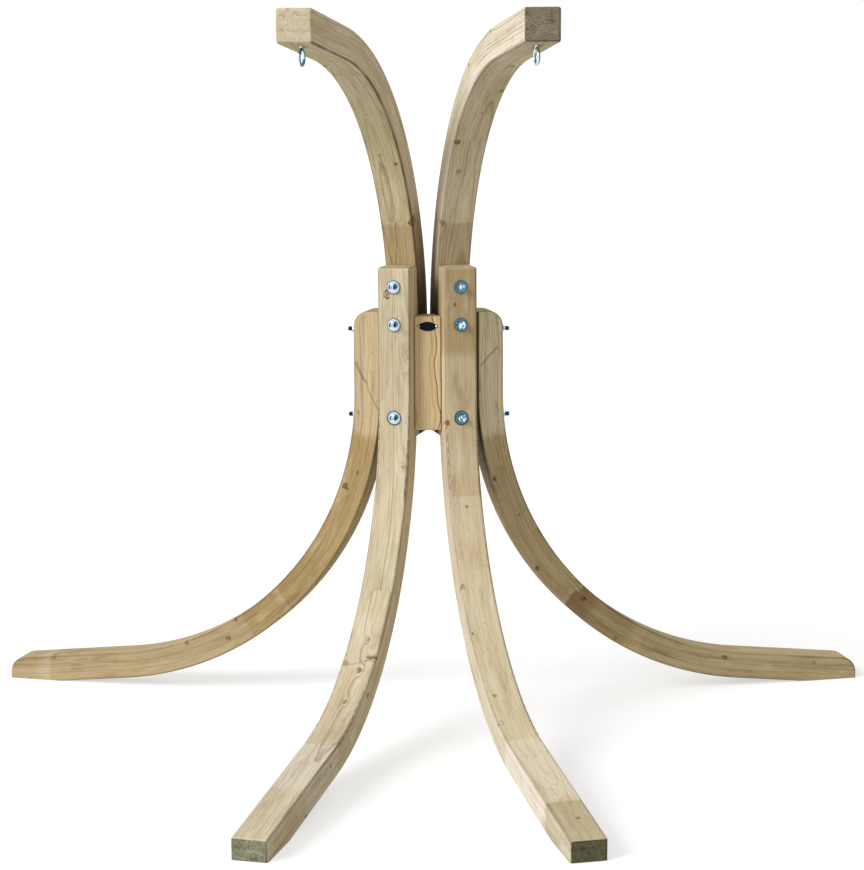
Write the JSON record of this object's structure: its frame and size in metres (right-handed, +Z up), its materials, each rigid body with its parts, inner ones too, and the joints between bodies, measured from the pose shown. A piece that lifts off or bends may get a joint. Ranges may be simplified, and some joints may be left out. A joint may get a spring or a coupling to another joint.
{
  "type": "hammock stand",
  "caption": "Free-standing wooden stand: bent laminated legs and a pair of curved arms that meet at a bolted hub, with an eye bolt under each arm tip for a hammock or hanging seat.",
  "frame": {"origin": "on the floor, at the centre of the stand's bounding box seen from above", "axes": "+X to the right seen from the front, -Y to the front, where the arms reach, +Z up"},
  "size_m": [2.4552, 1.6568, 1.9199],
  "materials": {
    "glued_spruce": "pressure-treated, planed and lightly weathered spruce laminations, satin",
    "board_spruce": "planed solid spruce, satin",
    "zinc_plate": "bright blue-passivated zinc plating",
    "dark_blue_enamel": "dark blue enamel, slightly glossy, blank"
  },
  "bodies": {
    "root": {"left_front_leg": "glued_spruce", "right_front_leg": "glued_spruce", "left_back_leg": "glued_spruce", "right_back_leg": "glued_spruce", "left_arm": "glued_spruce", "right_arm": "glued_spruce", "left_front_packer": "board_spruce", "right_front_packer": "board_spruce", "left_side_packer": "board_spruce", "right_side_packer": "board_spruce", "left_front_bolts": "zinc_plate", "right_front_bolts": "zinc_plate", "left_front_washers": "zinc_plate", "right_front_washers": "zinc_plate", "left_front_nuts": "zinc_plate", "right_front_nuts": "zinc_plate", "left_side_bolts": "zinc_plate", "right_side_bolts": "zinc_plate", "left_side_washers": "zinc_plate", "right_side_washers": "zinc_plate", "left_side_nuts": "zinc_plate", "right_side_nuts": "zinc_plate", "left_block_screws": "zinc_plate", "right_block_screws": "zinc_plate", "left_eye_bolt": "zinc_plate", "right_eye_bolt": "zinc_plate", "left_eye_washer": "zinc_plate", "right_eye_washer": "zinc_plate", "left_eye_nut": "zinc_plate", "right_eye_nut": "zinc_plate", "hub_block": "board_spruce", "name_plate": "dark_blue_enamel", "name_plate_pins": "zinc_plate"}
  },
  "joints": []
}
